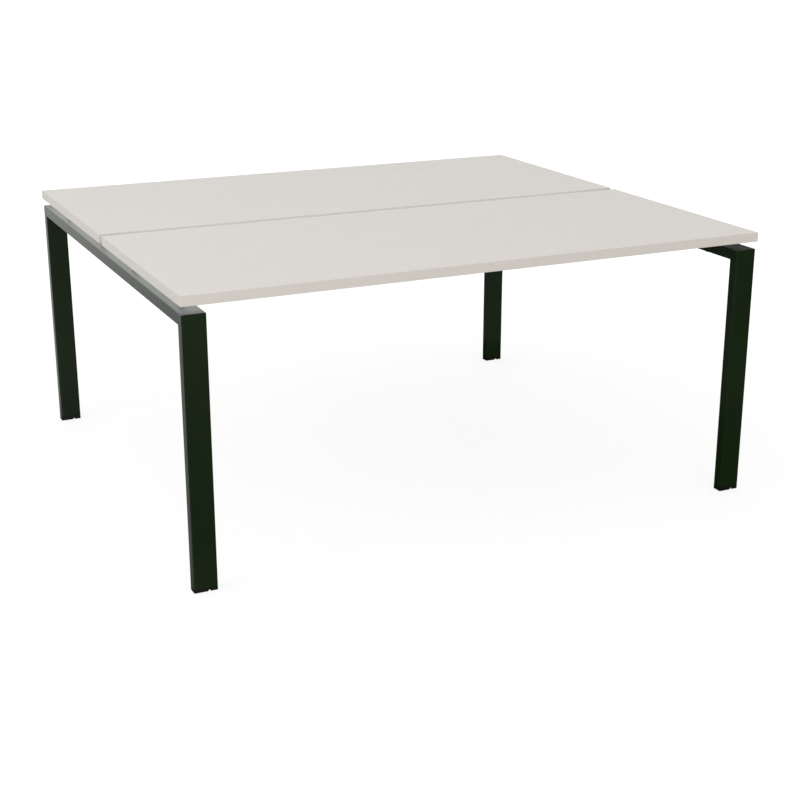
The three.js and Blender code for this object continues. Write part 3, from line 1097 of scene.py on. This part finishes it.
@dataclass
class Rail:
    """The tube under a worktop, with a flange welded to each end and bolted to the beams."""

    seat: Seat
    tube_round_mm: float = 3.0
    round_segments: int = 5
    end_cap_mm: tuple[float, float] = (1.6, 0.4)
    flange_round_mm: float = 3.0
    flange_arris_mm: float = 0.5
    bead_mm: float = 2.6
    ripple_mm: float = 2.2
    ripple_share: float = 0.12
    bead_steps: int = 12
    bolt: SocketScrew = SocketScrew(7.0, 4.4, 3.9, 2.9, 2.2, 4.0, 14.6)

    @property
    def name(self) -> str:
        """The rail's name in the frame."""
        return f"{self.seat.value}_rail"

    def tube(self) -> BMesh:
        """Builds the rail's tube, with a thin cap let into each end."""
        bm = bmesh.new()
        low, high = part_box(self.name)
        edges = add_block(bm, low, high)
        long_edges = [e for e in edges if abs((e.verts[0].co - e.verts[1].co).x) > mm(1)]
        round_off(bm, long_edges, self.tube_round_mm, self.round_segments)
        rim, depth = self.end_cap_mm
        ends = [f for f in bm.faces if abs(f.normal.x) > 0.9]
        bmesh.ops.inset_individual(bm, faces=ends, thickness=mm(rim), use_even_offset=True)
        bmesh.ops.inset_individual(bm, faces=ends, thickness=mm(depth), depth=-mm(depth))
        return bm

    def flange(self, side: Side) -> BMesh:
        """Builds the plate at one end of the rail."""
        bm = bmesh.new()
        low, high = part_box(f"{self.name}_{side.value}_end_plate")
        edges = add_block(bm, low, high)
        corners = [e for e in edges if abs((e.verts[0].co - e.verts[1].co).x) > mm(1)]
        round_off(bm, corners, self.flange_round_mm, self.round_segments)
        faces = [f for f in bm.faces if abs(f.normal.x) > 0.9]
        round_off(bm, {e for f in faces for e in f.edges}, self.flange_arris_mm, 2)
        return bm

    def weld(self, side: Side) -> BMesh:
        """Builds the two rippled weld beads where one end of the tube meets its flange."""
        bm = bmesh.new()
        low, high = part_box(f"{self.name}_{side.value}_end_plate")
        tube_low, tube_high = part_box(self.name)
        face = low.x if side is Side.RIGHT else high.x
        height = high.z - low.z
        radius = mm(self.bead_mm)
        rings = int(height / mm(self.ripple_mm) * 6)
        for y in (tube_low.y, tube_high.y):
            corner = Vector((face, y, (low.z + high.z) / 2))
            verts = bmesh.ops.create_cone(
                bm,
                cap_ends=True,
                segments=self.bead_steps,
                radius1=radius,
                radius2=radius,
                depth=height,
                matrix=Matrix.Translation(corner),
            )["verts"]
            uprights = [e for e in {e for v in verts for e in v.link_edges} if is_upright(e)]
            bmesh.ops.subdivide_edges(bm, edges=uprights, cuts=rings - 1)
            bead = [v for v in bm.verts if (v.co - corner).xy.length < 2 * radius]
            self.ripple(bm, bead, corner, height)
        return bm

    def ripple(self, bm: BMesh, bead: list[BMVert], corner: Vector, height: float) -> None:
        """Gives a weld bead its ripples and its tapered ends.

        Args:
            bm: The mesh that holds the bead.
            bead: The bead's vertices.
            corner: The middle of the bead.
            height: The bead's length.
        """
        levels: dict[float, list[BMVert]] = {}
        for vert in bead:
            levels.setdefault(round(vert.co.z, 5), []).append(vert)
        for level, ring in levels.items():
            along = (level - corner.z) / (height / 2)
            wave = abs(math.sin(math.pi * (level - corner.z) / mm(self.ripple_mm)))
            taper = math.sqrt(max(1 - along**6, 0.05))
            share = taper * (1 - self.ripple_share * (1 - wave))
            space = Matrix.Translation(-corner)
            bmesh.ops.scale(bm, vec=(share, share, 1), verts=ring, space=space)

    def dress(self) -> None:
        """Adds the tube, its flanges, their welds and their bolts."""
        add_piece(f"{self.name}_tube", self.tube(), GREEN_COAT, DESK_BODY, [self.name])
        for side in Side:
            end = f"{self.name}_{side.value}"
            add_piece(f"{end}_flange", self.flange(side), GREEN_COAT, DESK_BODY, [f"{end}_end_plate"])
            add_piece(f"{end}_weld", self.weld(side), GREEN_COAT, DESK_BODY, [])
            plate_low, plate_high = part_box(f"{end}_end_plate")
            face = plate_low.x if side is Side.RIGHT else plate_high.x
            turn = Matrix.Rotation(side.hand * math.pi / 2, 4, "Y")
            for which in End:
                node = f"{end}_{which.value}_bolt"
                axis = middle(node)
                bm = self.bolt.build()
                seat = Vector((face - side.hand * mm(FIT_GAP_MM), axis.y, axis.z))
                bmesh.ops.transform(bm, matrix=Matrix.Translation(seat) @ turn, verts=bm.verts)
                add_piece(f"{end}_{which.value}_button_bolt", bm, ZINC_STEEL, DESK_BODY, [node])


def is_upright(edge: BMEdge) -> bool:
    """Tells whether an edge runs along Z."""
    first, second = (v.co for v in edge.verts)
    return abs(first.z - second.z) > (first - second).xy.length


@dataclass
class Fixing:
    """A spacer between a beam and a worktop, and the screw that passes up through both."""

    seat: Seat
    side: Side
    end: End
    bore_mm: float = 3.3
    arris_mm: float = 0.8
    waist_mm: tuple[float, float] = (0.35, 1.2)
    steps: int = 40
    screw: SocketScrew = SocketScrew(6.0, 3.6, 3.6, 2.3, 2.0, 3.0, 67.0, 2.4)

    @property
    def name(self) -> str:
        """The fixing's name in the frame."""
        return f"{self.seat.value}_{self.side.value}_{self.end.value}"

    def spacer(self) -> BMesh:
        """Builds the spacer: a turned sleeve with round arrises and a fine groove at each end."""
        bm = bmesh.new()
        low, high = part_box(f"{self.name}_spacer")
        radius = (high.x - low.x) / 2 / MILLIMETRE
        height = (high.z - low.z) / MILLIMETRE
        depth, width = self.waist_mm
        arris = self.arris_mm
        profile = [(self.bore_mm, 0.0)]
        profile += arc_mm((radius - arris, arris), arris, -90, 0, 4)
        for groove in (3 * width, height - 3 * width):
            profile += [(radius, groove - width / 2), (radius - depth, groove - width / 4)]
            profile += [(radius - depth, groove + width / 4), (radius, groove + width / 2)]
        profile += arc_mm((radius - arris, height - arris), arris, 0, 90, 4)
        profile += [(self.bore_mm, height), (self.bore_mm, 0.0)]
        add_turned(bm, profile, self.steps)
        axis = (low + high) / 2
        bmesh.ops.translate(bm, vec=(axis.x, axis.y, low.z), verts=bm.verts)
        return bm

    def dress(self) -> None:
        """Adds the spacer and its screw."""
        spacer, node = f"{self.name}_spacer", f"{self.name}_top_screw"
        add_piece(f"{self.name}_sleeve", self.spacer(), BLACK_PLASTIC, DESK_BODY, [spacer])
        bm = self.screw.build()
        axis = middle(node)
        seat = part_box(node)[0].z + mm(self.screw.head_mm)
        bmesh.ops.translate(bm, vec=(axis.x, axis.y, seat), verts=bm.verts)
        add_piece(f"{self.name}_pan_screw", bm, ZINC_STEEL, DESK_BODY, [node])


# The set


@dataclass(frozen=True)
class Softbox:
    """A flat lamp that points at a spot on the desk."""

    name: str
    place: tuple[float, float, float]
    aim: tuple[float, float, float]
    size: tuple[float, float]
    watts: float
    colour: str = "#ffffff"

    def hang(self) -> None:
        """Adds the lamp, which shows only in mirrors."""
        lamp = bpy.data.lights.new(self.name, "AREA")
        lamp.shape = "RECTANGLE"
        lamp.size, lamp.size_y = self.size
        lamp.energy = self.watts
        lamp.color = linear(self.colour)[:3]
        holder = bpy.data.objects.new(self.name, lamp)
        holder.location = self.place
        way = Vector(self.aim) - Vector(self.place)
        holder.rotation_mode = "QUATERNION"
        holder.rotation_quaternion = way.to_track_quat("-Z", "Y")
        holder.visible_camera = False
        bpy.context.scene.collection.objects.link(holder)


@dataclass(frozen=True)
class PaintedReflection:
    """A dim card that shows only in mirrors: a painted dark reflection, which sets how dark a tube's face
    looks.
    """

    name: str
    low: tuple[float, float, float]
    high: tuple[float, float, float]
    glow: float

    def stand(self) -> None:
        """Adds the card, between its two far corners."""
        bm = bmesh.new()
        add_block(bm, Vector(self.low), Vector(self.high))
        mesh = bpy.data.meshes.new(self.name)
        bm.to_mesh(mesh)
        bm.free()
        material = bpy.data.materials.new(self.name)
        material.use_nodes = True
        tree = material.node_tree
        tree.nodes.clear()
        dim = add_node(tree, "ShaderNodeEmission", values={"Strength": self.glow})
        add_node(tree, "ShaderNodeOutputMaterial", links={"Surface": dim.outputs["Emission"]})
        mesh.materials.append(material)
        card = bpy.data.objects.new(self.name, mesh)
        # Only mirror rays see the card, so it paints a dark reflection and casts no shadow
        card.visible_camera = card.visible_diffuse = False
        card.visible_transmission = card.visible_shadow = False
        bpy.context.scene.collection.objects.link(card)


@dataclass
class Studio:
    """The white set: floor, surrounding light, lamps and camera."""

    camera_place: tuple[float, float, float] = (-1.717325, -3.824034, 1.568881)
    camera_azimuth_deg: float = -25.1326
    camera_elevation_deg: float = 18.5612
    lens_mm: float = 66.649
    sensor_mm: float = 36.0
    ambient: float = 0.8
    floor_span: float = 120.0
    floor_colour: str = "#e6e4e0"
    shadow_share: float = 0.25
    shadow_reach: tuple[float, float] = (1.2, 4.0)
    shadow_glow: tuple[float, float] = (0.8, 1.0)
    # What the tubes mirror is painted onto the floor for mirror rays alone: a dark floor with a dim painted
    # pool of light under the desk, between two painted bright cards that brighten towards the back, the more
    # so where they are close to the desk
    pool_place: tuple[float, float, float] = (-0.5, -0.1, 0.0)
    pool_reach: tuple[float, float] = (0.4, 0.9)
    pool_glow: float = 0.14
    card_middle: float = 0.25
    card_edge: tuple[float, float] = (1.0, 1.1)
    card_depth: tuple[float, float] = (-1.9, 4.0)
    card_bend: tuple[float, float] = (1.6, 1.25)
    card_glow: tuple[float, float] = (0.72, 1.05)
    lamps: tuple[Softbox, ...] = (
        Softbox("front_softbox", (-1.0, -6.5, 1.3), (0.0, 0.0, 0.5), (3.0, 3.0), 94),
        Softbox("left_softbox", (-4.0, -0.5, 2.4), (0.0, 0.0, 0.7), (2.6, 2.6), 46, "#f6f9ff"),
        # What the worktops' undersides throw down onto the left beam
        Softbox("gap_glow", (-0.75, 0.033, 0.7098), (-0.75, 0.033, 0.0), (0.1, 1.344), 0.46),
        # What the two worktops throw onto each other in the slit between them
        Softbox("slit_glow", (0.0, -0.0119, 0.7225), (0.0, 1.0, 0.7225), (1.59, 0.024), 0.07),
    )
    painted_reflections: tuple[PaintedReflection, ...] = (
        # Painted dark reflections for the right-hand frame: beside its front corner's top, and for the inner
        # side of its front leg; then for the inner side and the front of its rear leg
        PaintedReflection("corner_dark_reflection", (0.815, -0.74, 0.692), (0.817, -0.46, 0.734), 0.17),
        PaintedReflection("knee_dark_reflection", (-0.35, 0.25, 0.14), (0.5, 0.252, 0.62), 0.05),
        PaintedReflection("rear_dark_reflection", (0.4, 0.9, 0.0), (0.72, 0.902, 0.6), 0.075),
        PaintedReflection("side_dark_reflection", (0.85, -0.4, 0.004), (1.5, 0.5, 0.006), 0.1),
    )

    def any_of(self, tree: NodeTree, *rays: str) -> NodeSocket:
        """Tells some kinds of ray from all others.

        Args:
            tree: The tree that asks.
            rays: Names of Light Path outputs, such as "Is Camera Ray".

        Returns:
            1 for a ray of any of these kinds, and 0 for others.
        """
        path = add_node(tree, "ShaderNodeLightPath")
        found = path.outputs[rays[0]]
        for ray in rays[1:]:
            links = {"Value": found, "Value_001": path.outputs[ray]}
            larger = {"operation": "MAXIMUM"}
            found = add_node(tree, "ShaderNodeMath", larger, links=links).outputs["Value"]
        return found

    def surroundings(self) -> None:
        """Makes the world: white to the eye and in mirrors, and an even light on the desk."""
        world = bpy.data.worlds.new("white_surroundings")
        world.use_nodes = True
        tree = world.node_tree
        tree.nodes.clear()
        white, light = (
            add_node(tree, "ShaderNodeBackground", values={"Color": (1, 1, 1, 1), "Strength": level})
            for level in (1.0, self.ambient)
        )
        shown = add_node(
            tree,
            "ShaderNodeMixShader",
            links={
                "Fac": self.any_of(tree, "Is Camera Ray", "Is Glossy Ray", "Is Transmission Ray"),
                "Shader": light.outputs["Background"],
                "Shader_001": white.outputs["Background"],
            },
        )
        add_node(tree, "ShaderNodeOutputWorld", links={"Surface": shown.outputs["Shader"]})
        bpy.context.scene.world = world

    def floor_to_eye(self, tree: ShaderNodeTree, place: NodeSocket) -> NodeSocket:
        """Gives the floor as the eye sees it: white, with the desk's faint shadow near it."""
        # The glow is painted lower near the desk and full far away, so the desk's shadow shows near it while
        # the far floor stays white
        reach = add_node(
            tree, "ShaderNodeVectorMath", settings={"operation": "LENGTH"}, links={"Vector": place}
        )
        level = add_node(
            tree,
            "ShaderNodeMapRange",
            values={
                "From Min": self.shadow_reach[0],
                "From Max": self.shadow_reach[1],
                "To Min": self.shadow_glow[0],
                "To Max": self.shadow_glow[1],
            },
            links={"Value": reach.outputs["Value"]},
        )
        glow = add_node(tree, "ShaderNodeEmission", links={"Strength": level.outputs["Result"]})
        share = (self.shadow_share,) * 3 + (1.0,)
        shade = add_node(tree, "ShaderNodeBsdfDiffuse", values={"Color": share})
        return add_node(
            tree,
            "ShaderNodeAddShader",
            links={"Shader": glow.outputs["Emission"], "Shader_001": shade.outputs["BSDF"]},
        ).outputs["Shader"]

    def floor_in_mirrors(self, tree: ShaderNodeTree, place: NodeSocket) -> NodeSocket:
        """Gives the floor as the tubes mirror it: a painted reflection of a dark floor, a dim pool of light
        and two bright cards.
        """
        axes = add_node(tree, "ShaderNodeSeparateXYZ", links={"Vector": place})
        across = add_node(
            tree,
            "ShaderNodeMath",
            settings={"operation": "SUBTRACT"},
            values={"Value_001": self.card_middle},
            links={"Value": axes.outputs["X"]},
        )
        aside = add_node(
            tree,
            "ShaderNodeMath",
            settings={"operation": "ABSOLUTE"},
            links={"Value": across.outputs["Value"]},
        ).outputs["Value"]
        away = add_node(
            tree,
            "ShaderNodeVectorMath",
            settings={"operation": "DISTANCE"},
            values={"Vector_001": self.pool_place},
            links={"Vector": place},
        )
        pool = add_node(
            tree,
            "ShaderNodeMapRange",
            values={
                "From Min": self.pool_reach[0],
                "From Max": self.pool_reach[1],
                "To Min": self.pool_glow,
                "To Max": 0.0,
            },
            links={"Value": away.outputs["Value"]},
        )
        brightest = add_node(
            tree,
            "ShaderNodeMapRange",
            values={
                "From Min": self.card_bend[0],
                "From Max": self.card_bend[1],
                "To Min": self.card_glow[0],
                "To Max": self.card_glow[1],
            },
            links={"Value": aside},
        )
        card = add_node(
            tree,
            "ShaderNodeMapRange",
            values={"From Min": self.card_depth[0], "From Max": self.card_depth[1]},
            links={"Value": axes.outputs["Y"], "To Max": brightest.outputs["Result"]},
        )
        level = add_node(
            tree,
            "ShaderNodeMapRange",
            values={"From Min": self.card_edge[0], "From Max": self.card_edge[1]},
            links={
                "Value": aside,
                "To Min": pool.outputs["Result"],
                "To Max": card.outputs["Result"],
            },
        )
        glow = add_node(tree, "ShaderNodeEmission", links={"Strength": level.outputs["Result"]})
        return glow.outputs["Emission"]

    def floor(self) -> None:
        """Lays the floor, which is clear from below so that the underside can be seen."""
        bm = bmesh.new()
        bmesh.ops.create_grid(bm, x_segments=1, y_segments=1, size=self.floor_span / 2)
        mesh = bpy.data.meshes.new("floor")
        bm.to_mesh(mesh)
        bm.free()
        material = bpy.data.materials.new("white_floor")
        material.use_nodes = True
        tree = material.node_tree
        tree.nodes.clear()
        place = add_node(tree, "ShaderNodeTexCoord").outputs["Object"]
        mirrored = self.any_of(tree, "Is Glossy Ray")
        seen = self.any_of(tree, "Is Camera Ray", "Is Transmission Ray")
        below = add_node(tree, "ShaderNodeNewGeometry").outputs["Backfacing"]
        pale = add_node(tree, "ShaderNodeBsdfDiffuse", values={"Color": linear(self.floor_colour)})
        clear = add_node(tree, "ShaderNodeBsdfTransparent")
        shown = pale.outputs["BSDF"]
        # Mirror rays see the painted reflection, the eye sees the white floor, and from below the floor is
        # clear
        for share, other in (
            (mirrored, self.floor_in_mirrors(tree, place)),
            (seen, self.floor_to_eye(tree, place)),
            (below, clear.outputs["BSDF"]),
        ):
            links = {"Fac": share, "Shader": shown, "Shader_001": other}
            shown = add_node(tree, "ShaderNodeMixShader", links=links).outputs["Shader"]
        add_node(tree, "ShaderNodeOutputMaterial", links={"Surface": shown})
        mesh.materials.append(material)
        floor = bpy.data.objects.new("floor", mesh)
        bpy.context.scene.collection.objects.link(floor)

    def camera(self) -> None:
        """Sets the camera where the photograph was taken from."""
        data = bpy.data.cameras.new("camera")
        data.lens = self.lens_mm
        data.sensor_width = self.sensor_mm
        camera = bpy.data.objects.new("camera", data)
        azimuth = math.radians(self.camera_azimuth_deg)
        elevation = math.radians(self.camera_elevation_deg)
        level = math.cos(elevation)
        back = Vector((math.sin(azimuth) * level, -math.cos(azimuth) * level, math.sin(elevation)))
        camera.location = self.camera_place
        camera.rotation_mode = "QUATERNION"
        camera.rotation_quaternion = (-back).to_track_quat("-Z", "Y")
        bpy.context.scene.collection.objects.link(camera)
        bpy.context.scene.camera = camera

    def build(self) -> None:
        """Makes the whole set."""
        bpy.context.scene.view_settings.view_transform = "Standard"
        self.surroundings()
        self.floor()
        for lamp in self.lamps:
            lamp.hang()
        # The painted dark reflections, seen only in mirrors
        for painted_reflection in self.painted_reflections:
            painted_reflection.stand()
        self.camera()
        log.info("studio with %d lamps and %d flags", len(self.lamps), len(self.painted_reflections))


def main() -> None:
    """Builds the desk, sub-assembly by sub-assembly, and then its set."""
    logging.basicConfig(level=logging.INFO, format="%(name)s: %(message)s")
    for seat in Seat:
        Worktop(seat).dress()
        Rail(seat).dress()
        for side in Side:
            Foot(seat, side).dress()
            for end in End:
                Fixing(seat, side, end).dress()
    for side in Side:
        GoalPost(side).dress()
    Studio().build()


if __name__ == "__main__":
    main()
